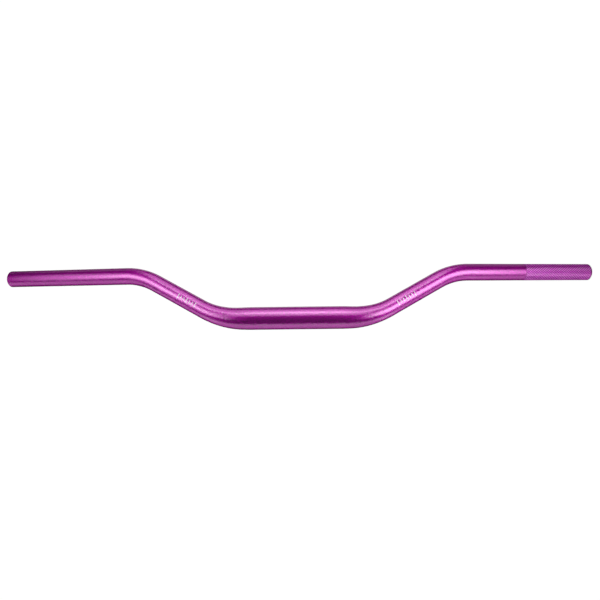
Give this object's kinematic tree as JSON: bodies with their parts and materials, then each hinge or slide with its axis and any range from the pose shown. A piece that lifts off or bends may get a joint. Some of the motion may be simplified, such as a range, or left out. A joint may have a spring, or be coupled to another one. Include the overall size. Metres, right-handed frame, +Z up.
{
  "type": "motocross handlebar",
  "caption": "Wide tapered tube handlebar with two bends a side: thick in the clamp zone, slimmer at the swept-back grips, open at both ends.",
  "frame": {"origin": "centre of the clamp zone, on the tube's centre line", "axes": "+X along the clamp zone to the rider's left, +Y back towards the rider, +Z up; the risers lean back 30 degrees and the grips are level"},
  "size_m": [0.8054, 0.1123, 0.0818],
  "materials": {
    "anodised_tube": "bead-blasted and anodised purple, satin"
  },
  "bodies": {
    "root": {"handlebar_tube": "anodised_tube"}
  },
  "joints": []
}
